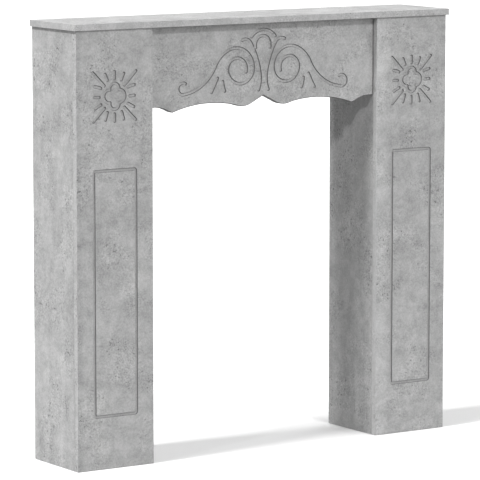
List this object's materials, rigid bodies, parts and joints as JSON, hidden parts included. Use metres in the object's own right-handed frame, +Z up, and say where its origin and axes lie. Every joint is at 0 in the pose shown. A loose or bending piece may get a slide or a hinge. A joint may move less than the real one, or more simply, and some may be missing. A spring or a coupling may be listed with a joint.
{
  "type": "fireplace mantelpiece",
  "caption": "Freestanding grey board fireplace surround with a flat shelf, boxed legs and a wavy frieze, with routed scrolls, sunbursts and long rectangles.",
  "frame": {"origin": "middle of the underside, halfway along the shelf's width and depth, on the floor", "axes": "+Z up, X along the width, the decorated front faces -Y, +Y towards the wall"},
  "size_m": [1.032, 0.2, 1.01],
  "materials": {
    "top_board": "concrete-look decor on engineered wood board, matt",
    "front_board": "concrete-look decor on engineered wood board, matt, routed",
    "side_board": "concrete-look decor on engineered wood board, matt"
  },
  "bodies": {
    "root": {"mantel_top": "top_board", "frieze": "front_board", "left_leg_front": "front_board", "left_leg_outer_side": "side_board", "left_leg_inner_side": "side_board", "right_leg_front": "front_board", "right_leg_outer_side": "side_board", "right_leg_inner_side": "side_board"}
  },
  "joints": []
}
